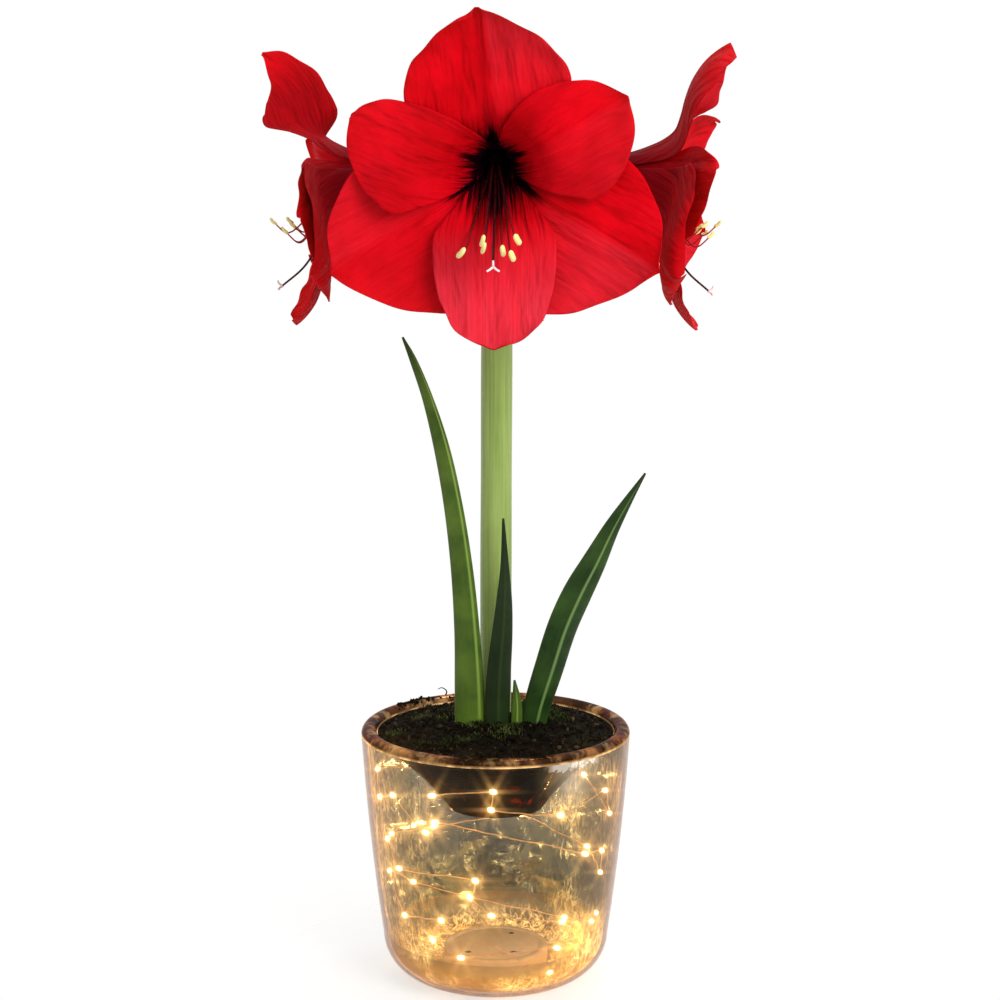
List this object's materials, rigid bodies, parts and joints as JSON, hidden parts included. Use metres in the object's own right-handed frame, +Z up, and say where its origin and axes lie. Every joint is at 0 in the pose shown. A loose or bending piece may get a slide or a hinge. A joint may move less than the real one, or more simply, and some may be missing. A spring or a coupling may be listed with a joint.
{
  "type": "potted amaryllis",
  "caption": "Flowering amaryllis with red trumpet blooms on a leafless stem, growing in soil in a round double-walled glass pot that a warm light string lights from inside.",
  "frame": {"origin": "centre of the pot's foot, on the surface that the pot stands on", "axes": "+Z up along the flower stem; the leading bloom faces -Y, and +X is to the right of someone who looks at it"},
  "size_m": [0.254, 0.2596, 0.5281],
  "materials": {
    "glass": "glossy, with a smoky half mirror inside the outer wall",
    "case_plastic": "matt beige",
    "cell_casing": "satin",
    "copper_wire": "bright copper with lit lamps",
    "soil": "moist peat with moss",
    "bulb_skin": "dry and papery",
    "stem_green": "smooth with a light bloom",
    "leaf_green": "satin",
    "dark_leaf_green": "satin",
    "bract_brown": "dry and papery",
    "petal_red": "velvety",
    "stamen_red": "satin, with pale yellow anthers"
  },
  "bodies": {
    "root": {"glass_vessel": "glass", "battery_case": "case_plastic", "battery_cover": "case_plastic", "battery_cell_1": "cell_casing", "battery_cell_2": "cell_casing", "battery_cell_3": "cell_casing", "light_string": "copper_wire", "soil": "soil", "bulb": "bulb_skin", "scape": "stem_green", "leaf_left": "leaf_green", "leaf_middle": "dark_leaf_green", "leaf_right": "leaf_green", "leaf_young": "leaf_green", "spathe_bract_left": "bract_brown", "spathe_bract_right": "bract_brown", "pedicel_front": "stem_green", "perianth_front": "petal_red", "stamens_front": "stamen_red", "pedicel_right": "stem_green", "perianth_right": "petal_red", "stamens_right": "stamen_red", "pedicel_back": "stem_green", "perianth_back": "petal_red", "stamens_back": "stamen_red", "pedicel_left": "stem_green", "perianth_left": "petal_red", "stamens_left": "stamen_red"}
  },
  "joints": []
}
